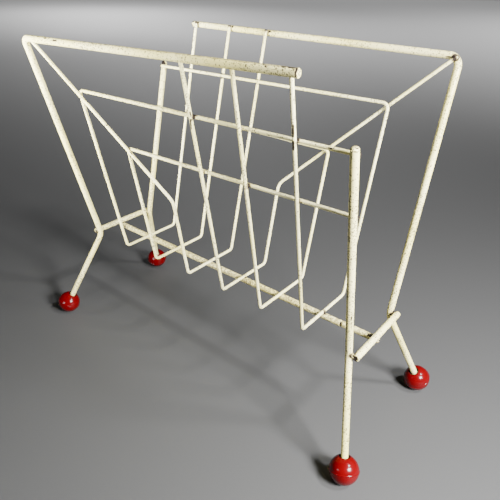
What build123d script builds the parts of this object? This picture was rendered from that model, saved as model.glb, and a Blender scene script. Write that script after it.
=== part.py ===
from build123d import *
import os

# Wire magazine rack on four ball feet, in millimetres.
# X runs along the rack, Y across it and Z up. The balls stand on Z = 0 and the
# origin is the middle of the footprint. The far half (+Y) is the near half (-Y)
# turned by 180 degrees about Z, except that the two posts were bent by hand and
# differ by a millimetre or two. The near half is the near frame rod, the near post,
# the right crossbar over the near post's knee, and three of the basket wires.

# ---- stock ---------------------------------------------------------------------
rod_diameter = 6.0           # frame, posts, crossbars and spine
wire_diameter = 3.0          # basket wires
ball_diameter = 25.0
weld_gap = 0.1               # what the weld metal leaves between two rods

rod_radius = rod_diameter / 2
wire_radius = wire_diameter / 2
ball_radius = ball_diameter / 2

# ---- frame rods: free end, rail, corner, leg, knee, foot ---------------------------
rail_y = 93.0                # both rails lie this far from the middle
rail_free_x = 129.0          # cut end of the near rail
rail_corner_x = 163.0        # corner of the near rail, on the -X side
rail_corner_z = 319.5
rail_free_z = 323.5          # the rail climbs a little towards its cut end
knee_x = 166.0
knee_z = 100.0
frame_knee = (-knee_x, -33.0, knee_z)
frame_foot = (-192.5, -73.0, ball_radius)    # centre of the near left ball
corner_bend = 6.0            # bend radii are those of the centre line
knee_bend = 18.0

# ---- posts: top, knee and ball centre of each --------------------------------------------
near_post = [(164.5, -80.5, 284.0), (165.2, -43.0, knee_z), (189.5, -74.5, ball_radius)]
far_post = [(-164.5, 80.5, 282.0), (-knee_x, 43.0, knee_z + 1), (-192.0, 74.5, ball_radius)]
post_dome = 2.4              # rounding of the post's top edge
cut_edge = 0.35              # rounding of every other rod end

# ---- crossbars over the knees, spine under the crossbars -------------------------------
crossbar_z = 102.6
crossbar_x = knee_x + rod_diameter + 0.3     # just outside the knees
crossbar_short = 36.5        # reach past the middle on the frame rod's side
crossbar_long = 45.5         # reach past the middle on the post's side
crossbar_dome = 1.8          # rounding of the end beside the frame rod
spine_z = crossbar_z - rod_diameter - weld_gap / 2
spine_x = 172.5
spine_skew = 4.0             # the spine ends this far off the middle, one each way
seam_x = 137.0               # a fine groove round the spine
seam_width = 0.5
seam_depth = 0.25

# ---- basket wires: each one bent wire, lying across the spine ------------------------
leg_pitch = 47.0             # spacing of the upright wires
top_spread = 3.0             # the far ends lean this much outwards
bottom_near_y = 34.3         # where the bottom of each wire turns up
bottom_far_y = [35.0, 37.0, 39.0]
bottom_z = spine_z + rod_radius + wire_radius + weld_gap / 2
bottom_bend = 4.5
tip_overhang = 1.5           # a bar's tip passes the post's middle by this much
upper_bar_z = 277.5
upper_bar_bend_y = 73.4
upper_bar_bend = 6.0
lower_bar_post_z = 231.8
lower_bar_bend_z = 229.6
lower_bar_bend_y = 60.5
lower_bar_bend_shift = 1.0   # its near leg stands this far outside the pitch
lower_bar_bend = 5.0
diagonal_start = (-161.0, -88.0, 318.0)
diagonal_bend_y = 51.8
diagonal_bend_z = 186.3
diagonal_bend = 14.5

# ---- ball feet --------------------------------------------------------------------------
bore_radius = rod_radius + 0.05
bore_past_centre = 5.0       # the rod stops this far beyond the ball's centre
mouth_radius = 4.9           # countersink round the rod, at the height of the ball's top
mouth_depth = 3.0
ridge_height = 0.35          # moulding ridge round the ball, square to the bore
ridge_width = 1.2

# ---- weld beads, as the radius of the blob before the rods are cut out ------------------
wire_bead = 2.1
rail_bead = 2.7
knee_bead = 4.0


def half_turn(points):
    """The same points on the other half of the rack."""
    return [(-x, -y, z) for x, y, z in points]


def rail_z(x):
    """Height of the near rail's centre line at x."""
    share = (x + rail_corner_x) / (rail_free_x + rail_corner_x)
    return rail_corner_z + share * (rail_free_z - rail_corner_z)


def post_point(z):
    """Point of the near post's centre line at height z."""
    top, knee = Vector(near_post[0]), Vector(near_post[1])
    return top + (knee - top) * ((z - top.Z) / (knee.Z - top.Z))


def bar_tip(z):
    """Tip of a basket bar that is welded to the near post's inner side."""
    at = post_point(z)
    lean = (Vector(near_post[1]) - Vector(near_post[0])).normalized()
    offset = (rod_radius + wire_radius + weld_gap) / abs(lean.Z)
    return (at.X + tip_overhang, at.Y + offset, z)


def into_ball(knee, centre):
    """End of a rod that runs from its knee through a ball's centre into the bore."""
    knee, centre = Vector(knee), Vector(centre)
    return tuple(centre + (centre - knee).normalized() * bore_past_centre)


def bent_rod(points, bends, radius):
    """A round rod along straight runs joined by arcs, one bend radius per corner."""
    path = FilletPolyline(*points, radius=bends) if bends else Line(*points)
    start = Plane(origin=path @ 0, z_dir=path % 0)
    return sweep(start * Circle(radius), path=path)


def round_end(part, point, size):
    """Round the edge of the rod end nearest to a point."""
    rims = part.edges().filter_by(GeomType.CIRCLE)
    rim = min(rims, key=lambda edge: (edge.arc_center - Vector(point)).length)
    return fillet(rim, size)


def frame_rod_points():
    return [
        (rail_free_x, -rail_y, rail_free_z),
        (-rail_corner_x, -rail_y, rail_corner_z),
        frame_knee,
        into_ball(frame_knee, frame_foot),
    ]


def frame_rod(points):
    part = bent_rod(points, [corner_bend, knee_bend], rod_radius)
    return round_end(part, points[0], cut_edge)


def post_rod(post):
    top, knee, foot = post
    part = bent_rod([top, knee, into_ball(knee, foot)], [knee_bend], rod_radius)
    return round_end(part, top, post_dome)


def crossbar_points():
    return [(crossbar_x, -crossbar_long, crossbar_z), (crossbar_x, crossbar_short, crossbar_z)]


def crossbar(points):
    cut, domed = points
    part = bent_rod(points, None, rod_radius)
    part = round_end(part, domed, crossbar_dome)
    return round_end(part, cut, cut_edge)


def spine_points():
    return [(-spine_x, spine_skew, spine_z), (spine_x, -spine_skew, spine_z)]


def spine_rod():
    left, right = spine_points()
    part = bent_rod([left, right], None, rod_radius)
    seam_y = -spine_skew * seam_x / spine_x
    along = Vector(right) - Vector(left)
    ring = Plane(origin=(seam_x, seam_y, spine_z), z_dir=along) * (
        Cylinder(rod_radius + 1, seam_width) - Cylinder(rod_radius - seam_depth, seam_width)
    )
    part = part - ring
    for end in (left, right):
        part = round_end(part, end, cut_edge)
    return part


def far_leg(number, side):
    """Bottom turn and far end of a wire: number 0 is nearest the middle."""
    x = leg_pitch * (number + 0.5)
    top_x = x + top_spread
    top_y = rail_y - rod_radius - wire_radius - weld_gap
    return [
        (side * x, -bottom_near_y, bottom_z),
        (side * x, bottom_far_y[number], bottom_z),
        (side * top_x, top_y, rail_z(top_x) + rod_radius),
    ]


def upper_wire_points():
    bend = (-leg_pitch * 2.5, -upper_bar_bend_y, upper_bar_z)
    return [bar_tip(upper_bar_z), bend] + far_leg(2, -1)


def lower_wire_points():
    bend = (-leg_pitch * 1.5 - lower_bar_bend_shift, -lower_bar_bend_y, lower_bar_bend_z)
    return [bar_tip(lower_bar_post_z), bend] + far_leg(1, -1)


def diagonal_wire_points():
    bend = (-leg_pitch * 0.5, -diagonal_bend_y, diagonal_bend_z)
    return [diagonal_start, bend] + far_leg(0, -1)


def basket_wire(points, first_bend):
    part = bent_rod(points, [first_bend, bottom_bend, bottom_bend], wire_radius)
    part = round_end(part, points[0], cut_edge)
    return round_end(part, points[-1], cut_edge)


def ball_foot(knee, centre):
    """A moulded ball with a blind bore that points back at the knee."""
    axis = Plane(origin=centre, z_dir=Vector(knee) - Vector(centre))
    ridge = Cylinder(ball_radius + ridge_height, ridge_width)
    ridge = fillet(ridge.edges().filter_by(GeomType.CIRCLE), ridge_height)
    bore = Pos(0, 0, -bore_past_centre) * Cylinder(
        bore_radius, 2 * ball_radius, align=(Align.CENTER, Align.CENTER, Align.MIN))
    mouth = Pos(0, 0, ball_radius - mouth_depth) * Cone(
        bore_radius, mouth_radius, mouth_depth, align=(Align.CENTER, Align.CENTER, Align.MIN))
    return axis * (Sphere(ball_radius) + ridge - bore - mouth)


class Rod:
    """A finished rod or wire, with the points and the radius that it was made from."""

    def __init__(self, part, points, radius):
        self.part = part
        self.points = points
        self.radius = radius

    def run(self, number):
        """One straight run of the rod, between two of its points."""
        return Line(self.points[number], self.points[number + 1])

    def bend(self, number, radius):
        """The rod's centre line round one of its bends."""
        return FilletPolyline(*self.points[number - 1:number + 2], radius=[radius])


def weld(first, first_line, second, second_line, size):
    """A bead where two rods touch, cut back to the surfaces of both."""
    on_first, on_second = first_line.closest_points(second_line)
    share = first.radius / (first.radius + second.radius)
    bead = Pos(on_first + (on_second - on_first) * share) * Rot(70, 15, 40) * Sphere(size)
    return (bead - first.part - second.part).solids()


def rail_welds(rail, far_ends, start):
    """Beads of three wire ends along one rail, and of one wire start at its corner."""
    beads = []
    for wire in far_ends:
        beads += weld(rail, rail.run(0), wire, wire.run(3), rail_bead)
    beads += weld(rail, rail.bend(1, corner_bend), start, start.run(0), rail_bead)
    return beads


def crossing_welds(bars, legs, diagonal):
    """Beads where two bars cross three legs, and where a diagonal crosses their bends."""
    beads = []
    for bar, bend in zip(bars, (upper_bar_bend, lower_bar_bend)):
        for leg in legs:
            beads += weld(bar, bar.run(0), leg, leg.run(3), wire_bead)
        beads += weld(bar, bar.bend(1, bend), diagonal, diagonal.run(0), wire_bead)
    return beads


def post_welds(post, bars):
    """Beads where the two bars meet a post."""
    beads = []
    for bar in bars:
        beads += weld(post, post.run(0), bar, bar.run(0), rail_bead)
    return beads


def spine_beads(spine, wires):
    """Beads where the wires lie across the spine."""
    beads = []
    for wire in wires:
        beads += weld(spine, spine.run(0), wire, wire.run(2), rail_bead)
    return beads


def crossbar_welds(crossbar, knees, spine):
    """Beads of one crossbar on its two knees and on the spine."""
    beads = []
    for rod, number in knees:
        beads += weld(crossbar, crossbar.run(0), rod, rod.bend(number, knee_bend), knee_bead)
    beads += weld(crossbar, crossbar.run(0), spine, spine.run(0), knee_bead)
    return beads


# ---- the two halves ------------------------------------------------------------------------
nodes = {}
rods = {}

near_points = {
    "frame": frame_rod_points(),
    "crossbar": crossbar_points(),
    "upper": upper_wire_points(),
    "lower": lower_wire_points(),
    "diagonal": diagonal_wire_points(),
}
wire_bends = {"upper": upper_bar_bend, "lower": lower_bar_bend, "diagonal": diagonal_bend}

for half, post in (("near", near_post), ("far", far_post)):
    points = near_points
    if half == "far":
        points = {name: half_turn(route) for name, route in near_points.items()}
    crossbar_name = {"near": "right_crossbar", "far": "left_crossbar"}[half]
    rods[half, "frame"] = Rod(frame_rod(points["frame"]), points["frame"], rod_radius)
    rods[half, "post"] = Rod(post_rod(post), post, rod_radius)
    rods[half, "crossbar"] = Rod(crossbar(points["crossbar"]), points["crossbar"], rod_radius)
    nodes[half + "_frame_rod"] = rods[half, "frame"].part
    nodes[half + "_post_rod"] = rods[half, "post"].part
    nodes[crossbar_name] = rods[half, "crossbar"].part
    for name, bend in wire_bends.items():
        rods[half, name] = Rod(basket_wire(points[name], bend), points[name], wire_radius)
        nodes[half + "_" + name + "_wire"] = rods[half, name].part

spine = Rod(spine_rod(), spine_points(), rod_radius)
nodes["spine_rod"] = spine.part

# ---- ball feet -----------------------------------------------------------------------------
far_knee, far_foot = half_turn([frame_knee, frame_foot])
nodes["near_left_ball"] = ball_foot(frame_knee, frame_foot)
nodes["near_right_ball"] = ball_foot(near_post[1], near_post[2])
nodes["far_right_ball"] = ball_foot(far_knee, far_foot)
nodes["far_left_ball"] = ball_foot(far_post[1], far_post[2])

# ---- weld beads ------------------------------------------------------------------------------
for half, other in (("near", "far"), ("far", "near")):
    bars = [rods[half, "upper"], rods[half, "lower"]]
    legs = [rods[other, name] for name in ("diagonal", "lower", "upper")]
    diagonal = rods[half, "diagonal"]
    nodes[half + "_rail_welds"] = Compound(rail_welds(rods[half, "frame"], legs, diagonal))
    nodes[half + "_crossing_welds"] = Compound(crossing_welds(bars, legs, diagonal))
    nodes[half + "_post_welds"] = Compound(post_welds(rods[half, "post"], bars))

wires = [rods[half, name] for half in ("near", "far") for name in wire_bends]
nodes["spine_welds"] = Compound(spine_beads(spine, wires))
for name, half, other in (("right_crossbar", "near", "far"), ("left_crossbar", "far", "near")):
    knees = [(rods[half, "post"], 1), (rods[other, "frame"], 2)]
    beads = crossbar_welds(rods[half, "crossbar"], knees, spine)
    nodes[name + "_welds"] = Compound(beads)

# ---- one file per node -------------------------------------------------------------------------
os.makedirs("parts", exist_ok=True)
for name, part in nodes.items():
    part.label = name
    export_step(part, "parts/" + name + ".step")
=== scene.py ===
import math

import bmesh
import bpy
import numpy as np
from mathutils import Matrix, Vector, noise

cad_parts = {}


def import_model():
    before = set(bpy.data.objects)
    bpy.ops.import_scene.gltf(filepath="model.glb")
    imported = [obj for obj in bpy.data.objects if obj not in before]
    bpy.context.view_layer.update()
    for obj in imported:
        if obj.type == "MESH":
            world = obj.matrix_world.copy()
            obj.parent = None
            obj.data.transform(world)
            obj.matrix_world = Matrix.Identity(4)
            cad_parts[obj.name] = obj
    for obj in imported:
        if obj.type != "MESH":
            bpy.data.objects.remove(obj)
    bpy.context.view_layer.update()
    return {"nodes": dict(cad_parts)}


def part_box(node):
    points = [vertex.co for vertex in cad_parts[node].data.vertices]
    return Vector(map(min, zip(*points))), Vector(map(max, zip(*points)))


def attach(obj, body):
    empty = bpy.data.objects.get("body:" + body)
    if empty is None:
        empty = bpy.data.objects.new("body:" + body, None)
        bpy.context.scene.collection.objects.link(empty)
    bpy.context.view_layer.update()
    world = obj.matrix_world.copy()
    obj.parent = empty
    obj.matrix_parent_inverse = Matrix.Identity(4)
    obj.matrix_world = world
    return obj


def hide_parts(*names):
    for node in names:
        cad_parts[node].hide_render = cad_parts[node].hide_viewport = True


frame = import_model()

# Routes, sizes and marks are in millimetres, in the CAD model's frame. Meshes are built in metres.
MM = 0.001

# The rods' routes repeat the CAD model's. The far half's are the near half's turned by 180 degrees
# about Z, with the small changes named FAR_... below. The far post has a route of its own.
ROD_RADIUS = 3.0
WIRE_RADIUS = 1.5
BALL_RADIUS = 12.5
BORE_PAST_CENTRE = 5.0          # a leg ends this far beyond its ball's centre
KNEE_Z = 100.0
KNEE_X = 166.0
RAIL_Y = 93.0
RAIL_CORNER = (-163.0, -RAIL_Y, 319.5)
RAIL_END = (129.0, -RAIL_Y, 323.5)
FRAME_KNEE = (-KNEE_X, -33.0, KNEE_Z)
FRAME_FOOT = (-192.5, -73.0, BALL_RADIUS)
NEAR_POST = [(164.5, -80.5, 284.0), (165.2, -43.0, KNEE_Z), (189.5, -74.5, BALL_RADIUS)]
FAR_POST = [(-164.5, 80.5, 282.0), (-KNEE_X, 43.0, KNEE_Z + 1), (-192.0, 74.5, BALL_RADIUS)]
CORNER_BEND = 6.0
KNEE_BEND = 18.0
LEG_PITCH = 47.0
TOP_SPREAD = 3.0
BOTTOM_NEAR_Y = -34.3
BOTTOM_FAR_Y = [35.0, 37.0, 39.0]
BOTTOM_BEND = 4.5
DIAGONAL_BEND = 14.5
UPPER_BEND = 6.0
LOWER_BEND = 5.0
UPPER_BAR = [(166.0, -74.54, 277.5), (-117.5, -73.4, 277.5)]
LOWER_BAR = [(166.2, -65.17, 231.8), (-71.5, -60.5, 229.6)]
DIAGONAL = [(-161.0, -88.0, 318.0), (-23.5, -51.8, 186.3)]
GAP_ON_SPINE, GAP_ON_RAIL = 0.05, 0.1
SPINE_END = (172.5, -4.0, 96.55)

# The seam in the spine: where it is, how far the right side is out of line, and the groove.
SEAM_X = 137.0
SEAM_STEP = (0.0, 0.2, 0.15)
SEAM_REACH, SEAM_HALF_WIDTH, SEAM_DEPTH = 0.7, 0.25, 0.45

# The far half as it is seen: its corner is lower and softer, its wire tips are lower, and its
# upper bar starts nearer the middle.
FAR_CORNER_DROP, FAR_CORNER_BEND = 1.2, 9.0
FAR_TIP_DROP = 1.3
FAR_BAR_SHIFT = 1.2

# A visual piece's box may differ this much from its CAD node's.
BOX_LIMIT = 2.4

ROD_SPACING, WIRE_SPACING = 1.6, 1.2
ROD_SIDES, WIRE_SIDES = 32, 20
DOME_DEPTH, CROSSBAR_DOME = 2.4, 1.6
PAINT_UNEVENNESS = 0.02         # as a share of the rod's radius
COARSE_LUMPS, FINE_LUMPS = 0.11, 0.45    # noise cells per millimetre
PAINT_DEPTH = 0.12

# Half widths of the fused metal at each kind of joint.
WELD_SIZE = {"crossing_welds": 1.7, "rail_welds": 1.5, "post_welds": 1.7,
             "spine_welds": 1.6, "crossbar_welds": 2.1}
BEAD_ROWS, BEAD_SIDES = 10, 14
BEAD_UNEVENNESS = 0.22

# A ball's bore, its mouth and the moulding ridge round it. The mouth's outline is a list of radii
# and heights over the ball's centre. Painted shade darkens the mouth, and thins out beyond the shaded
# radius.
BORE_RADIUS, MOUTH_RADIUS = 3.02, 5.05
MOUTH_OUTLINE = [(3.05, 8.4), (3.3, 9.1), (3.9, 10.2), (4.4, 11.0), (4.7, 11.35), (4.85, 11.48)]
MOUTH_FROM_Z, MOUTH_EDGE, PAINTED_SHADE_RADIUS = 8.0, 4.9, 4.2
RIDGE_HEIGHT, RIDGE_HALF_WIDTH = 0.34, 0.75
BALL_SIDES = 72
BALL_DENTS = 0.05
BALL_SEED_STEP = 40.0           # gives each ball its own dents

# Knocks that went through the enamel: where each starts and ends, and its half width.
CHIPS = {
    "near_frame_rod": [
        ((128.5, -95.2, 325.5), (128.7, -96.0, 324.1), 0.75),
        ((128.6, -96.0, 323.0), (128.3, -95.1, 321.3), 0.65),
        ((127.8, -93.6, 326.4), (128.4, -94.8, 325.9), 0.45),
        ((117.6, -94.0, 326.2), (119.0, -94.2, 326.1), 0.55),
        ((122.2, -93.7, 326.3), (124.6, -93.8, 326.3), 0.75),
        ((106.0, -95.3, 325.0), (107.2, -95.4, 324.9), 0.35),
        ((97.5, -95.9, 323.4), (98.1, -95.9, 323.2), 0.40),
        ((-128.0, -95.2, 322.0), (-125.0, -95.2, 322.0), 0.30),
        ((-114.0, -95.6, 321.5), (-109.0, -95.6, 321.6), 0.38),
    ],
    "near_post_rod": [
        ((162.0, -81.4, 281.4), (163.0, -82.8, 281.2), 0.50),
        ((163.0, -82.8, 281.2), (165.0, -83.3, 281.3), 0.40),
        ((166.0, -81.4, 283.2), (166.6, -80.6, 283.0), 0.45),
        ((163.4, -79.6, 284.4), (163.9, -79.0, 284.4), 0.40),
        ((167.4, -54.3, 145.6), (167.4, -54.0, 144.4), 0.40),
        ((167.5, -53.0, 140.2), (167.5, -52.8, 139.2), 0.45),
        ((185.6, -66.5, 37.6), (185.9, -66.8, 36.4), 0.45),
        ((182.0, -65.4, 45.8), (182.3, -65.6, 44.6), 0.40),
        ((188.0, -70.5, 26.5), (188.3, -71.0, 25.2), 0.40),
    ],
    "far_upper_wire": [
        ((120.4, -81.6, 289.2), (120.0, -80.0, 281.6), 0.62),
        ((119.8, -79.2, 277.6), (119.6, -78.2, 272.6), 0.72),
    ],
    "far_post_rod": [
        ((-164.3, 77.6, 281.6), (-163.3, 77.9, 281.6), 0.90),
        ((-161.9, 78.4, 279.4), (-162.0, 78.2, 278.4), 0.45),
    ],
    "far_diagonal_wire": [
        ((26.4, -77.9, 275.8), (25.6, -76.6, 268.4), 0.50),
        ((27.0, -79.0, 281.4), (26.9, -78.6, 279.8), 0.55),
        ((160.4, 86.6, 316.6), (161.4, 88.4, 318.6), 1.00),
    ],
    "near_upper_wire": [
        ((144.6, -75.9, 277.9), (146.4, -75.9, 277.9), 0.45),
        ((21.8, -75.4, 278.6), (23.4, -75.4, 278.7), 0.60),
        ((29.0, -75.0, 279.0), (30.0, -75.0, 279.0), 0.50),
        ((-115.2, -74.4, 278.6), (-113.8, -74.2, 278.7), 0.60),
        ((-112.8, -73.9, 276.2), (-111.2, -73.8, 276.1), 0.60),
    ],
    "near_diagonal_wire": [
        ((-110.6, -74.2, 271.6), (-106.4, -73.0, 267.4), 0.50),
        ((-64.8, -63.4, 227.8), (-63.0, -63.1, 226.2), 0.50),
    ],
    "near_lower_wire": [((-68.6, -62.0, 231.2), (-66.8, -61.9, 231.1), 0.55)],
    "far_frame_rod": [
        ((158.8, 90.0, 318.7), (161.4, 90.0, 318.4), 1.25),
        ((152.5, 90.4, 317.4), (157.0, 90.2, 317.8), 0.40),
        ((161.0, 91.0, 317.4), (161.6, 90.9, 315.4), 0.60),
        ((-128.0, 91.0, 326.0), (-128.6, 93.0, 326.6), 0.90),
        ((-128.9, 91.2, 324.8), (-128.9, 90.6, 322.8), 0.70),
        ((-120.6, 90.6, 325.4), (-119.6, 90.8, 325.6), 0.90),
        ((-72.2, 90.5, 324.3), (-71.2, 90.6, 324.4), 0.90),
        ((-24.8, 90.6, 323.5), (-23.8, 90.7, 323.5), 0.90),
        ((166.6, 32.0, 103.4), (167.6, 31.0, 101.0), 0.55),
    ],
    "right_crossbar": [
        ((169.8, -45.6, 105.2), (169.2, -45.6, 101.8), 0.85),
        ((170.0, -45.6, 100.6), (173.4, -45.6, 99.9), 0.70),
        ((171.6, -46.0, 103.4), (173.0, -46.0, 102.0), 0.60),
        ((170.4, -43.8, 105.0), (171.2, -43.2, 105.4), 0.45),
        ((169.9, -40.4, 104.7), (170.4, -40.0, 104.9), 0.50),
        ((172.9, 13.0, 99.7), (172.9, 14.2, 99.7), 0.50),
    ],
    "spine_rod": [
        ((165.0, -5.4, 99.1), (168.8, -4.4, 99.5), 1.20),
        ((136.9, -4.2, 99.0), (137.2, -6.2, 97.0), 0.45),
        ((137.2, -6.2, 97.0), (137.4, -5.6, 94.6), 0.45),
        ((172.4, -6.2, 95.0), (172.6, -5.0, 93.8), 0.50),
    ],
}

# A drip that ran down outside the right crossbar when the spine was welded on.
DRIP, DRIP_SIZE = (174.9, -10.5, 100.1), 1.5

# Scorched places are a middle, a reach and how badly. These joints burnt right through.
BURNS = [
    ((-164.3, 77.0, 280.6), 4.2, 1.0),
    ((26.3, -75.1, 278.9), 3.2, 0.9),
    ((-117.9, 68.5, 234.5), 3.0, 0.9),
    ((160.5, 89.0, 318.2), 4.4, 1.15),
    ((168.9, -45.6, 103.0), 3.4, 0.9),
]

# How strong a scorch and a chip are in the middle, before they are cut off at 1.
SCORCH_PEAK, CHIP_PEAK = 1.25, 1.7
# The usual scorch at a weld, how much it differs from joint to joint, and its reach in bead sizes.
SCORCH_USUAL, SCORCH_SPREAD, SCORCH_REACH = 0.62, 0.9, 2.2
# Reach and amount of the scorch at a crossbar's first end, and at a wire's first and last.
CROSSBAR_SCORCH = (3.6, 0.75)
WIRE_SCORCHES = (2.8, 1.0), (2.8, 1.2)

# Painted shade, from 0 for none to 1: all over the spine, and on the upward faces of whatever lies
# above these heights.
SPINE_PAINTED_SHADE, WIRE_PAINTED_SHADE = 0.36, 0.34
RAIL_PAINTED_SHADE, FREE_END_PAINTED_SHADE = 0.34, 0.14
RAIL_FROM_Z, HIGH_FROM_Z = 314.0, 225.0
RAIL_RUN = 260.0                # the rails' painted shade grows over this length, towards their free ends

# Base colours, as linear RGBA.
ROD_CREAM = (0.84, 0.77, 0.37, 1.0), (0.76, 0.68, 0.23, 1.0)
WIRE_CREAM = (0.88, 0.82, 0.44, 1.0), (0.80, 0.73, 0.29, 1.0)
WELD_CREAM = (0.78, 0.71, 0.38, 1.0), (0.62, 0.54, 0.25, 1.0)
DIRTY_CREAM = (0.30, 0.27, 0.16, 1.0)
# Real scorch, and also the painted shade on the spine and on upward faces.
SCORCHED_AND_SHADED_CREAM = (0.19, 0.14, 0.05, 1.0)
BARE_METAL = (0.003, 0.0025, 0.002, 1.0), (0.026, 0.014, 0.007, 1.0)
BALL_RED = (0.068, 0.0001, 0.0009, 1.0), (0.105, 0.0002, 0.0016, 1.0)
SCUFFED_RED = (0.12, 0.012, 0.010, 1.0)
# Painted shade, nearly black, in the mouths of the balls' bores.
MOUTH_PAINTED_SHADE = (0.006, 0.003, 0.002, 1.0)
FLOOR_GREY = (0.053, 0.053, 0.053, 1.0), (0.058, 0.058, 0.058, 1.0)
ROOM_LIGHT, ROOM_STRENGTH = (0.46, 0.56, 0.62, 1.0), 0.045


# ---- routes -------------------------------------------------------------------------------

def half_turn(points):
    """The same points on the other half of the rack."""
    return [(-x, -y, z) for x, y, z in points]


def middle(node):
    """Centre of a CAD node's box, in millimetres."""
    low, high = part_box(node)
    return (low + high) / 2 / MM


def into_ball(knee, centre):
    """Where a leg ends, a little past its ball's centre."""
    knee, centre = Vector(knee), Vector(centre)
    return centre + (centre - knee).normalized() * BORE_PAST_CENTRE


def rail_z(x):
    """Height of the near rail's middle at x."""
    share = (x - RAIL_CORNER[0]) / (RAIL_END[0] - RAIL_CORNER[0])
    return RAIL_CORNER[2] + share * (RAIL_END[2] - RAIL_CORNER[2])


def far_leg(number):
    """Bottom turn and far end of a basket wire: number 0 is nearest the middle."""
    x = LEG_PITCH * (number + 0.5)
    bottom_z = middle("spine_rod").z + ROD_RADIUS + WIRE_RADIUS + GAP_ON_SPINE
    top_y = RAIL_Y - ROD_RADIUS - WIRE_RADIUS - GAP_ON_RAIL
    top_x = x + TOP_SPREAD
    return [(-x, BOTTOM_NEAR_Y, bottom_z), (-x, BOTTOM_FAR_Y[number], bottom_z),
            (-top_x, top_y, rail_z(top_x) + ROD_RADIUS)]


def near_routes():
    """Route and bend radii of each rod of the near half, by the CAD node's name without its half."""
    crossbar_low, crossbar_high = (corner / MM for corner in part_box("right_crossbar"))
    crossbar = middle("right_crossbar")
    wire_bends = [BOTTOM_BEND, BOTTOM_BEND]
    return {
        "frame_rod": ([RAIL_END, RAIL_CORNER, FRAME_KNEE, into_ball(FRAME_KNEE, FRAME_FOOT)],
                      [CORNER_BEND, KNEE_BEND]),
        "crossbar": ([(crossbar.x, crossbar_low.y, crossbar.z),
                      (crossbar.x, crossbar_high.y, crossbar.z)], []),
        "upper_wire": (UPPER_BAR + far_leg(2), [UPPER_BEND] + wire_bends),
        "lower_wire": (LOWER_BAR + far_leg(1), [LOWER_BEND] + wire_bends),
        "diagonal_wire": (DIAGONAL + far_leg(0), [DIAGONAL_BEND] + wire_bends),
    }


def moved(point, x=0.0, z=0.0):
    """The point, moved sideways and upwards."""
    return (point[0] + x, point[1], point[2] + z)


def far_route(name, points, bends):
    """A near route turned to the far half, with the small differences seen there."""
    points = half_turn(points)
    if name == "frame_rod":
        points[1] = moved(points[1], z=-FAR_CORNER_DROP)
        bends = [FAR_CORNER_BEND, KNEE_BEND]
    if name.endswith("_wire"):
        points[-1] = moved(points[-1], z=-FAR_TIP_DROP)
    if name == "upper_wire":
        points[0] = moved(points[0], x=FAR_BAR_SHIFT)
    return points, bends


def centre_line(points, bends, spacing):
    """Evenly dense points along straight runs joined by arcs, in millimetres."""
    points = [Vector(p) for p in points]
    line = [points[0]]
    for number, corner in enumerate(points[1:-1], 1):
        back = (points[number - 1] - corner).normalized()
        ahead = (points[number + 1] - corner).normalized()
        half = back.angle(ahead) / 2
        reach = bends[number - 1] / math.tan(half)
        start = corner + back * reach
        centre = corner + (back + ahead).normalized() * (bends[number - 1] / math.sin(half))
        line += straight(line[-1], start, spacing)
        turn = math.pi - 2 * half
        steps = max(6, round(turn * bends[number - 1] / (spacing * 0.5)))
        axis = back.cross(ahead).normalized()
        for step in range(1, steps + 1):
            spin = Matrix.Rotation(-turn * step / steps, 3, axis)
            line.append(centre + spin @ (start - centre))
    return line + straight(line[-1], points[-1], spacing)


def straight(start, end, spacing):
    """Points from start, left out, to end."""
    steps = max(1, round((end - start).length / spacing))
    return [start.lerp(end, step / steps) for step in range(1, steps + 1)]


# ---- rods ---------------------------------------------------------------------------------

def cut_end(radius):
    """Profile of a sawn end, as (distance from the end, radius) from its middle outwards."""
    return [(0.0, 0.0), (0.02, radius * 0.35), (-0.03, radius * 0.7), (0.0, radius * 0.88),
            (0.06, radius * 0.955), (0.22, radius * 0.99), (0.45, radius)]


def domed_end(radius, depth):
    """Profile of an end ground to a dome with a small flat on top."""
    steps = [math.radians(a) for a in range(0, 91, 10)]
    flat = radius * 0.2
    return [(0.0, 0.0)] + [
        (depth * (1 - math.cos(a)), flat + (radius - flat) * math.sin(a)) for a in steps]


def ring_frames(line):
    """Tangent, side and up at each point, without twist."""
    tangents = []
    for number in range(len(line)):
        ahead = line[min(number + 1, len(line) - 1)]
        behind = line[max(number - 1, 0)]
        tangents.append((ahead - behind).normalized())
    side = tangents[0].orthogonal().normalized()
    frames = []
    for tangent in tangents:
        side = (side - tangent * side.dot(tangent)).normalized()
        frames.append((tangent, side, tangent.cross(side)))
    return frames


def swept_rod(name, line, radii, sides, ends):
    """A closed round rod along a line, with its own end profiles and uneven paint."""
    frames = ring_frames(line)
    rings = [(line[0] + frames[0][0] * along, frames[0], size) for along, size in ends[0]]
    rings += list(zip(line, frames, radii))[1:-1]
    rings += [(line[-1] - frames[-1][0] * along, frames[-1], size)
              for along, size in reversed(ends[1])]
    mesh = bmesh.new()
    loops = []
    for centre, (_, side, up), size in rings:
        if size == 0.0:
            loops.append([mesh.verts.new(centre * MM)])
            continue
        loop = []
        for number in range(sides):
            angle = 2 * math.pi * number / sides
            outward = side * math.cos(angle) + up * math.sin(angle)
            place = centre + outward * size
            lump = noise.noise(place * COARSE_LUMPS) * 0.5 + noise.noise(place * FINE_LUMPS) * 0.5
            place += outward * lump * size * PAINT_UNEVENNESS
            loop.append(mesh.verts.new(place * MM))
        loops.append(loop)
    close_loops(mesh, loops)
    return finish_mesh(name, mesh)


def close_loops(mesh, loops):
    """Faces between neighbouring loops, where a loop of one vertex is a tip."""
    for one, other in zip(loops, loops[1:]):
        sides = max(len(one), len(other))
        for number in range(sides):
            after = (number + 1) % sides
            if len(one) == 1:
                mesh.faces.new((one[0], other[after], other[number]))
            elif len(other) == 1:
                mesh.faces.new((one[number], one[after], other[0]))
            else:
                mesh.faces.new((one[number], one[after], other[after], other[number]))


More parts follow.
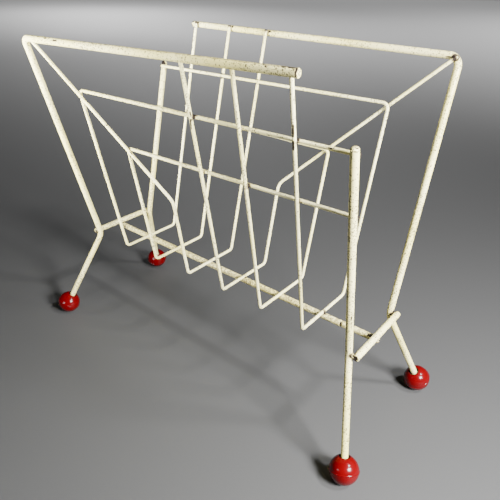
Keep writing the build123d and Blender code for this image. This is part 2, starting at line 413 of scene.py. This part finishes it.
def finish_mesh(name, mesh):
    """A smooth-shaded object from a bmesh."""
    bmesh.ops.recalc_face_normals(mesh, faces=mesh.faces)
    data = bpy.data.meshes.new(name)
    mesh.to_mesh(data)
    mesh.free()
    data.shade_smooth()
    piece = bpy.data.objects.new(name, data)
    bpy.context.scene.collection.objects.link(piece)
    return piece


def vertex_places(piece):
    """Vertex positions in millimetres."""
    places = np.empty(len(piece.data.vertices) * 3)
    piece.data.vertices.foreach_get("co", places)
    return places.reshape(-1, 3) / MM


def store_wear_and_shade(piece, worn_and_shaded):
    """Stores for the material how worn each vertex is, and how much painted shade it has: 0 or less is
    sound, about 1 is bare or fully shaded.
    """
    attribute = piece.data.attributes.new("worn_and_shaded", "FLOAT", "POINT")
    attribute.data.foreach_set("value", worn_and_shaded.astype(np.float32))


def wear_and_shade(piece, node, scorched):
    """Scorches the paint around hot spots, knocks chips out of it and darkens it with painted shade.
    """
    places = vertex_places(piece)
    normals = np.array([v.normal for v in piece.data.vertices])
    worn_and_shaded = np.zeros(len(places))
    for centre, reach, amount in scorched + BURNS:
        away = np.linalg.norm(places - centre, axis=1)
        worn_and_shaded = np.maximum(worn_and_shaded, amount * np.clip(SCORCH_PEAK - away / reach, 0.0, 1.0))
    for start, end, width in CHIPS.get(node, []):
        start, run = np.array(start), np.array(end) - np.array(start)
        along = np.clip((places - start) @ run / (run @ run), 0.0, 1.0)
        away = np.linalg.norm(places - start - along[:, None] * run, axis=1)
        knocked = np.clip(CHIP_PEAK - away / width, 0.0, 1.0)
        worn_and_shaded = np.maximum(worn_and_shaded, knocked)
        places -= normals * (knocked * PAINT_DEPTH)[:, None]
    # Painted shade on the spine and on upward faces high up goes into the same value as wear.
    worn_and_shaded = np.maximum(worn_and_shaded, painted_shade(node, places, normals))
    piece.data.vertices.foreach_set("co", (places * MM).ravel())
    piece.data.update()
    store_wear_and_shade(piece, worn_and_shaded)


def painted_shade(node, places, normals):
    """Painted shade: darker all over the spine and on top of the rails and high wires, more towards
    the rails' free ends.
    """
    if node == "spine_rod":
        return np.full(len(places), SPINE_PAINTED_SHADE)
    # The tops of the rails and high wires are darkened as painted shade.
    upward = np.clip((normals[:, 2] - 0.5) / 0.45, 0.0, 1.0)
    on_rail = np.clip((places[:, 2] - RAIL_FROM_Z) / 3.0, 0.0, 1.0)
    high_up = np.clip((places[:, 2] - HIGH_FROM_Z) / 5.0, 0.0, 1.0)
    free_end = np.clip(0.5 + places[:, 0] * np.sign(-places[:, 1]) / RAIL_RUN, 0.0, 1.0)
    rail_painted_shade = (RAIL_PAINTED_SHADE + FREE_END_PAINTED_SHADE * free_end) * on_rail
    return upward ** 1.5 * np.maximum(rail_painted_shade, WIRE_PAINTED_SHADE * high_up)


def stand_for(piece, node, material):
    """Puts a detailed piece in a CAD node's place, once their boxes are known to agree."""
    low, high = (np.array(corner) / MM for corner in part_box(node))
    places = vertex_places(piece)
    miss = max(np.abs(places.min(0) - low).max(), np.abs(places.max(0) - high).max())
    if miss > BOX_LIMIT:
        raise ValueError(f"{piece.name} misses CAD node {node} by {miss:.2f} mm")
    piece.data.materials.append(material)
    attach(piece, "root")
    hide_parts(node)


def spine_line():
    """The spine's middle and radii: two lengths butted at a seam, a little out of line."""
    right = Vector(SPINE_END)
    left = Vector((-right.x, -right.y, right.z))
    ahead = (left - right).normalized()
    seam = right + ahead * (right.x - SEAM_X) / -ahead.x
    step_aside = Vector(SEAM_STEP)
    start, lip = right + step_aside, seam - ahead * SEAM_REACH + step_aside
    line = [start] + straight(start, lip, ROD_SPACING)
    line += [seam - ahead * SEAM_HALF_WIDTH + step_aside * 0.5, seam + ahead * SEAM_HALF_WIDTH,
             seam + ahead * SEAM_REACH]
    radii = [ROD_RADIUS] * len(line)
    radii[-3] = radii[-2] = ROD_RADIUS - SEAM_DEPTH
    rest = straight(line[-1], left, ROD_SPACING)
    return line + rest, radii + [ROD_RADIUS] * len(rest)


def build_rod(node, line, radii, ends, joints, material):
    """Sweeps one rod or wire, wears it, paints shade on it and places it."""
    thin = node.endswith("_wire")
    sides, slot = (WIRE_SIDES, "wire_enamel") if thin else (ROD_SIDES, "rod_enamel")
    piece = swept_rod(node + "_painted", line, radii, sides, ends)
    scorched = list(joints)
    if node.endswith("_crossbar"):
        scorched.append((np.array(line[0]), *CROSSBAR_SCORCH))
    if thin:
        scorched += [(np.array(line[0]), *WIRE_SCORCHES[0]), (np.array(line[-1]), *WIRE_SCORCHES[1])]
    wear_and_shade(piece, node, scorched)
    stand_for(piece, node, material)


# ---- welds --------------------------------------------------------------------------------

def bead_centres(node):
    """Middle of each separate bead of a CAD weld node, in millimetres."""
    mesh = bmesh.new()
    mesh.from_mesh(frame["nodes"][node].data)
    bmesh.ops.remove_doubles(mesh, verts=mesh.verts, dist=1e-6)
    centres, seen = [], set()
    for first in mesh.verts:
        if first in seen:
            continue
        bead, waiting = [], [first]
        seen.add(first)
        while waiting:
            vertex = waiting.pop()
            bead.append(np.array(vertex.co) / MM)
            for edge in vertex.link_edges:
                other = edge.other_vert(vertex)
                if other not in seen:
                    seen.add(other)
                    waiting.append(other)
        centres.append((np.min(bead, axis=0) + np.max(bead, axis=0)) / 2)
    mesh.free()
    return centres


def scorch(centre):
    """How badly the paint burnt at a joint: differs from joint to joint."""
    return SCORCH_USUAL + SCORCH_SPREAD * noise.noise(Vector(centre) * 0.37)


def weld_group(name, centres, sizes):
    """Small lumps of fused metal under the paint, one at each joint."""
    mesh = bmesh.new()
    for centre, size in zip(centres, sizes):
        loops = []
        for row in range(BEAD_ROWS + 1):
            polar = math.pi * row / BEAD_ROWS
            around = 1 if row in (0, BEAD_ROWS) else BEAD_SIDES
            loop = []
            for number in range(around):
                angle = 2 * math.pi * number / BEAD_SIDES
                outward = Vector((math.sin(polar) * math.cos(angle),
                                  math.sin(polar) * math.sin(angle), math.cos(polar)))
                lump = noise.noise(Vector(centre) * 0.7 + outward * 1.3)
                place = Vector(centre) + outward * size * (1.0 + BEAD_UNEVENNESS * lump)
                loop.append(mesh.verts.new(place * MM))
            loops.append(loop)
        close_loops(mesh, loops)
    piece = finish_mesh(name, mesh)
    places = vertex_places(piece)
    nearest = [centres[np.argmin([np.linalg.norm(p - c) for c in centres])] for p in places]
    store_wear_and_shade(piece, np.array([scorch(c) for c in nearest]))
    return piece


# ---- materials ----------------------------------------------------------------------------

class Nodes:
    """Short calls for building one material's node tree."""

    def __init__(self, name):
        self.material = bpy.data.materials.new(name)
        self.material.use_nodes = True
        self.tree = self.material.node_tree
        self.tree.nodes.clear()
        self.place = self.add("ShaderNodeTexCoord").outputs["Object"]

    def add(self, kind, inputs=None, **settings):
        node = self.tree.nodes.new(kind)
        for key, value in settings.items():
            setattr(node, key, value)
        for key, value in (inputs or {}).items():
            if isinstance(value, bpy.types.NodeSocket):
                self.tree.links.new(value, node.inputs[key])
            else:
                node.inputs[key].default_value = value
        return node

    def math(self, operation, first, second=0.0, clamp=False):
        node = self.add("ShaderNodeMath", {0: first, 1: second}, operation=operation)
        node.use_clamp = clamp
        return node.outputs[0]

    def noise(self, scale, detail=4.0, roughness=0.55):
        inputs = {"Vector": self.place, "Scale": scale, "Detail": detail, "Roughness": roughness}
        return self.add("ShaderNodeTexNoise", inputs).outputs["Fac"]

    def step(self, value, low, high):
        """0 below low, 1 above high, smooth between."""
        inputs = {"Value": value, "From Min": low, "From Max": high}
        return self.add("ShaderNodeMapRange", inputs, interpolation_type="SMOOTHSTEP").outputs[0]

    def mix(self, factor, first, second):
        node = self.add("ShaderNodeMix", data_type="RGBA")
        for key, value in (("Factor_Float", factor), ("A_Color", first), ("B_Color", second)):
            socket = next(s for s in node.inputs if s.identifier == key)
            if isinstance(value, bpy.types.NodeSocket):
                self.tree.links.new(value, socket)
            else:
                socket.default_value = value
        return next(s for s in node.outputs if s.identifier == "Result_Color")

    def output(self, inputs):
        shader = self.add("ShaderNodeBsdfPrincipled", inputs)
        self.add("ShaderNodeOutputMaterial", {"Surface": shader.outputs[0]})
        return self.material


def specks(nodes, scale, share, size):
    """Irregular spots in some cells of a Voronoi pattern: share of the cells, size in cells."""
    warp = nodes.add("ShaderNodeTexNoise",
                     {"Vector": nodes.place, "Scale": scale * 2.2, "Detail": 3.0})
    bend = nodes.add("ShaderNodeVectorMath", {0: warp.outputs["Color"], "Scale": 0.9 / scale},
                     operation="SCALE").outputs[0]
    place = nodes.add("ShaderNodeVectorMath", {0: nodes.place, 1: bend}, operation="ADD").outputs[0]
    cells = nodes.add("ShaderNodeTexVoronoi", {"Vector": place, "Scale": scale})
    luck = nodes.add("ShaderNodeSeparateColor", {"Color": cells.outputs["Color"]}).outputs[0]
    reach = nodes.math("MULTIPLY", nodes.math("SUBTRACT", share, luck), size * 8.0, clamp=True)
    reach = nodes.math("MINIMUM", reach, size)
    inside = nodes.math("SUBTRACT", reach, cells.outputs["Distance"])
    return nodes.step(inside, 0.0, 0.06)


def enamel(name, fresh, aged, wear_share):
    """Old cream enamel: yellowed, grimy, scorched where it is worn, browned by painted shade, and
    chipped to dark metal.
    """
    nodes = Nodes(name)
    worn_and_shaded = nodes.add("ShaderNodeAttribute", attribute_name="worn_and_shaded").outputs["Fac"]
    clouds = nodes.noise(13.0, 3.0)
    mottling = nodes.noise(140.0, 4.0)
    colour = nodes.mix(nodes.step(clouds, 0.35, 0.65), fresh, aged)
    dirty = nodes.math("MULTIPLY", nodes.step(mottling, 0.5, 0.78), 0.25)
    colour = nodes.mix(dirty, colour, DIRTY_CREAM)
    ragged = nodes.math("MULTIPLY", nodes.math("SUBTRACT", nodes.noise(420.0, 4.0), 0.5), 0.9)
    # Scorch and painted shade share one value here and brown the enamel alike.
    scorched_and_shaded = nodes.math("ADD", worn_and_shaded, ragged)
    browned_and_shaded = nodes.math("MULTIPLY", nodes.step(scorched_and_shaded, 0.2, 0.5), 0.72)
    colour = nodes.mix(browned_and_shaded, colour, SCORCHED_AND_SHADED_CREAM)
    patches = nodes.step(nodes.noise(22.0, 2.0), 0.45, 0.65)
    share = nodes.math("MULTIPLY", nodes.math("ADD", patches, 0.55), wear_share)
    chips = nodes.math("MAXIMUM", specks(nodes, 620.0, share, 0.40),
                       specks(nodes, 1000.0, share, 0.40))
    chips = nodes.math("MULTIPLY", chips, 0.85)
    # Deep scorch and deep painted shade both show as bare metal.
    chips = nodes.math("MAXIMUM", chips, nodes.step(scorched_and_shaded, 0.52, 0.6))
    bare = nodes.mix(nodes.noise(1500.0, 2.0), *BARE_METAL)
    colour = nodes.mix(chips, colour, bare)
    roughness = nodes.math("ADD", nodes.math("MULTIPLY", mottling, 0.22), 0.26)
    roughness = nodes.math("ADD", roughness, nodes.math("MULTIPLY", chips, 0.4))
    skin = nodes.math("MULTIPLY", nodes.noise(620.0, 3.0), 0.16)
    brush = nodes.math("MULTIPLY", nodes.noise(95.0, 2.0), 0.35)
    height = nodes.math("SUBTRACT", nodes.math("ADD", skin, brush), chips)
    bump = nodes.add("ShaderNodeBump", {"Height": height, "Strength": 0.6, "Distance": 0.00012})
    return nodes.output({"Base Color": colour, "Roughness": roughness, "Normal": bump.outputs[0],
                         "Specular IOR Level": 0.3, "IOR": 1.5})


def red_plastic():
    """Glossy moulded red plastic with scuffs, and painted shade in the mouth of the bore."""
    nodes = Nodes("red_plastic")
    worn_and_shaded = nodes.add("ShaderNodeAttribute", attribute_name="worn_and_shaded").outputs["Fac"]
    clouds = nodes.noise(60.0, 3.0)
    colour = nodes.mix(clouds, *BALL_RED)
    scuffs = nodes.step(nodes.noise(420.0, 5.0, 0.7), 0.58, 0.75)
    colour = nodes.mix(nodes.math("MULTIPLY", scuffs, 0.12), colour, SCUFFED_RED)
    ragged = nodes.math("MULTIPLY", nodes.math("SUBTRACT", nodes.noise(500.0), 0.5), 0.6)
    # Painted shade: the mouth of the bore turns nearly black.
    mouth_shade = nodes.step(nodes.math("ADD", worn_and_shaded, ragged), 0.35, 0.65)
    colour = nodes.mix(mouth_shade, colour, MOUTH_PAINTED_SHADE)
    roughness = nodes.math("ADD", nodes.math("MULTIPLY", scuffs, 0.2), 0.2)
    roughness = nodes.math("ADD", roughness, nodes.math("MULTIPLY", mouth_shade, 0.4))
    fine = nodes.math("MULTIPLY", nodes.noise(900.0, 3.0), 0.2)
    height = nodes.math("ADD", nodes.noise(180.0, 2.0), fine)
    bump = nodes.add("ShaderNodeBump", {"Height": height, "Strength": 0.35, "Distance": 0.0001})
    return nodes.output({"Base Color": colour, "Roughness": roughness, "Normal": bump.outputs[0],
                         "Specular IOR Level": 0.17, "Coat Weight": 0.05, "Coat Roughness": 0.12})


# ---- ball feet ----------------------------------------------------------------------------

def ball_profile():
    """Half outline of a ball from the bore's floor out over the mouth to the bottom pole."""
    outline = [(0.0, -BORE_PAST_CENTRE), (BORE_RADIUS, -BORE_PAST_CENTRE)] + MOUTH_OUTLINE
    angle = math.degrees(math.asin(MOUTH_RADIUS / BALL_RADIUS))
    while angle < 180:
        polar = math.radians(angle)
        from_ridge = abs(angle - 90) * math.radians(1) * BALL_RADIUS
        ridge = RIDGE_HEIGHT * max(0.0, 1 - (from_ridge / RIDGE_HALF_WIDTH) ** 4)
        reach = BALL_RADIUS + ridge
        outline.append((reach * math.sin(polar), reach * math.cos(polar)))
        angle += 0.6 if from_ridge < 1.6 else 2.5
    return outline + [(0.0, -BALL_RADIUS)]


def ball_foot(name, knee, centre, seed):
    """A moulded ball turned about its bore, slightly out of true."""
    knee, centre = Vector(knee), Vector(centre)
    tilt = (knee - centre).to_track_quat("Z", "Y")
    mesh = bmesh.new()
    loops, worn_and_shaded = [], []
    for size, height in ball_profile():
        in_mouth = height > MOUTH_FROM_Z and size < MOUTH_EDGE
        around = 1 if size == 0.0 else BALL_SIDES
        loop = []
        for number in range(around):
            angle = 2 * math.pi * number / BALL_SIDES
            place = Vector((size * math.cos(angle), size * math.sin(angle), height))
            dent = noise.noise(place * 0.16 + Vector((seed, 0, 0))) * BALL_DENTS
            place += place.normalized() * dent
            loop.append(mesh.verts.new((centre + tilt @ place) * MM))
            # Painted shade in the mouth: full inside the shaded radius, thinning out towards the edge.
            worn_and_shaded.append(1.0 - max(0.0, size - PAINTED_SHADE_RADIUS) if in_mouth else 0.0)
        loops.append(loop)
    close_loops(mesh, loops)
    piece = finish_mesh(name, mesh)
    store_wear_and_shade(piece, np.array(worn_and_shaded))
    return piece


# ---- build --------------------------------------------------------------------------------

rod_enamel = enamel("rod_enamel", *ROD_CREAM, wear_share=0.50)
wire_enamel = enamel("wire_enamel", *WIRE_CREAM, wear_share=0.32)
weld_enamel = enamel("weld_enamel", *WELD_CREAM, wear_share=0.45)
red = red_plastic()

joints = []
for node in frame["nodes"]:
    if node.endswith("_welds"):
        kind = node.split("_", 1)[1] if node != "spine_welds" else node
        centres = bead_centres(node)
        size = WELD_SIZE[kind]
        joints += [(centre, SCORCH_REACH * size, scorch(centre)) for centre in centres]
        sizes = [size] * len(centres)
        if node == "right_crossbar_welds":
            centres, sizes = centres + [np.array(DRIP)], sizes + [DRIP_SIZE]
        piece = weld_group(node + "_fused", centres, sizes)
        stand_for(piece, node, weld_enamel)

for half in ("near", "far"):
    for name, (points, bends) in near_routes().items():
        if half == "far":
            points, bends = far_route(name, points, bends)
        node = half + "_" + name
        if name == "crossbar":
            node = {"near": "right_crossbar", "far": "left_crossbar"}[half]
        thin = name.endswith("_wire")
        radius, spacing = (WIRE_RADIUS, WIRE_SPACING) if thin else (ROD_RADIUS, ROD_SPACING)
        last = domed_end(radius, CROSSBAR_DOME) if name == "crossbar" else cut_end(radius)
        line = centre_line(points, bends, spacing)
        ends = (cut_end(radius), last)
        material = wire_enamel if thin else rod_enamel
        build_rod(node, line, [radius] * len(line), ends, joints, material)

for node, (top, knee, foot) in (("near_post_rod", NEAR_POST), ("far_post_rod", FAR_POST)):
    line = centre_line([top, knee, into_ball(knee, foot)], [KNEE_BEND], ROD_SPACING)
    ends = (domed_end(ROD_RADIUS, DOME_DEPTH), cut_end(ROD_RADIUS))
    build_rod(node, line, [ROD_RADIUS] * len(line), ends, joints, rod_enamel)

line, radii = spine_line()
ends = (cut_end(ROD_RADIUS), cut_end(ROD_RADIUS))
build_rod("spine_rod", line, radii, ends, joints, rod_enamel)

FAR_KNEE, FAR_FOOT = half_turn([FRAME_KNEE, FRAME_FOOT])
feet = {
    "near_left_ball": (FRAME_KNEE, FRAME_FOOT),
    "near_right_ball": (NEAR_POST[1], NEAR_POST[2]),
    "far_right_ball": (FAR_KNEE, FAR_FOOT),
    "far_left_ball": (FAR_POST[1], FAR_POST[2]),
}
for seed, (node, (knee, centre)) in enumerate(feet.items()):
    piece = ball_foot(node + "_moulded", knee, centre, seed * BALL_SEED_STEP)
    stand_for(piece, node, red)


# ---- floor, light and camera --------------------------------------------------------------

# Where the camera stands, in metres, and how it is turned, in degrees.
EYE = (0.29866, -0.36295, 0.37563)
YAW, PITCH, ROLL = 128.553, -28.41, 1.105
# Its focal length and its picture's shift, in picture widths, and its film's width in millimetres.
FOCAL_LENGTH = 1.03672
SHIFT_X, SHIFT_Y = 0.0307, 0.0025
FILM_WIDTH = 36.0
RACK_MIDDLE = (0.0, 0.0, 0.15)
FLOOR_HALF_WIDTH = 20.0


def floor():
    """A wide, even grey floor."""
    mesh = bmesh.new()
    bmesh.ops.create_grid(mesh, x_segments=2, y_segments=2, size=FLOOR_HALF_WIDTH)
    piece = finish_mesh("floor", mesh)
    nodes = Nodes("floor_paper")
    colour = nodes.mix(nodes.noise(400.0, 3.0), *FLOOR_GREY)
    piece.data.materials.append(nodes.output({"Base Color": colour, "Roughness": 0.6}))


def lamp(name, place, aim, size, power, spread=180):
    """A rectangular area light at a place, aimed at a point: metres, watts and its cone in degrees."""
    light = bpy.data.lights.new(name, "AREA")
    light.shape = "RECTANGLE"
    light.size, light.size_y = size
    light.energy = power
    light.spread = math.radians(spread)
    holder = bpy.data.objects.new(name, light)
    holder.location = Vector(place)
    away = Vector(place) - Vector(aim)
    holder.rotation_euler = away.to_track_quat("Z", "Y").to_euler()
    holder.visible_camera = False
    bpy.context.scene.collection.objects.link(holder)


def camera():
    """The viewpoint: above the near right ball, looking down along the rack."""
    yaw, pitch, roll = (math.radians(angle) for angle in (YAW, PITCH, ROLL))
    ahead = Vector((math.cos(pitch) * math.cos(yaw), math.cos(pitch) * math.sin(yaw),
                    math.sin(pitch)))
    level = Vector((math.sin(yaw), -math.cos(yaw), 0.0))
    up = level.cross(ahead)
    right = math.cos(roll) * level + math.sin(roll) * up
    up = math.cos(roll) * up - math.sin(roll) * level
    data = bpy.data.cameras.new("camera")
    data.sensor_width = FILM_WIDTH
    data.lens = FOCAL_LENGTH * FILM_WIDTH
    data.shift_x, data.shift_y = SHIFT_X, SHIFT_Y
    data.clip_start, data.clip_end = 0.01, 50.0
    eye = bpy.data.objects.new("camera", data)
    turn = Matrix((right, up, -ahead)).transposed()
    eye.matrix_world = Matrix.Translation(Vector(EYE)) @ turn.to_4x4()
    bpy.context.scene.collection.objects.link(eye)
    bpy.context.scene.camera = eye


def world():
    """Faint cool light from all round."""
    studio = bpy.data.worlds.new("studio")
    studio.use_nodes = True
    background = studio.node_tree.nodes["Background"]
    background.inputs["Color"].default_value = ROOM_LIGHT
    background.inputs["Strength"].default_value = ROOM_STRENGTH
    bpy.context.scene.world = studio


floor()
# Two strong lamps on the right, a weak one on the left, and a tiny one for the near right ball.
lamp("key_right", (0.62, -0.15, 0.43), RACK_MIDDLE, (0.19, 0.15), 28.0)
lamp("upper_right", (0.741, 0.135, 1.041), RACK_MIDDLE, (0.13, 0.13), 21.0)
lamp("front_left", (-0.21, -0.62, 0.16), (-0.21, -0.07, 0.30), (0.14, 0.14), 5.0, 56)
lamp("glint", (-0.095, -0.577, 0.238), (0.188, -0.084, 0.020), (0.04, 0.04), 0.005, 16)
# These point straight down and light the floor behind the rack.
lamp("backdrop", (-4.0, 7.0, 2.4), (-4.0, 7.0, 0.0), (12.0, 9.0), 1250.0, 100)
lamp("stage_middle", (-2.2, 2.4, 3.5), (-2.2, 2.4, 0.0), (0.5, 0.5), 140.0, 82)
lamp("stage_left", (-4.2, 3.1, 2.0), (-4.2, 3.1, 0.0), (1.2, 1.2), 170.0, 105)
lamp("stage_far", (0.4, 5.2, 3.5), (0.4, 5.2, 0.0), (0.5, 0.5), 330.0, 100)
world()
camera()
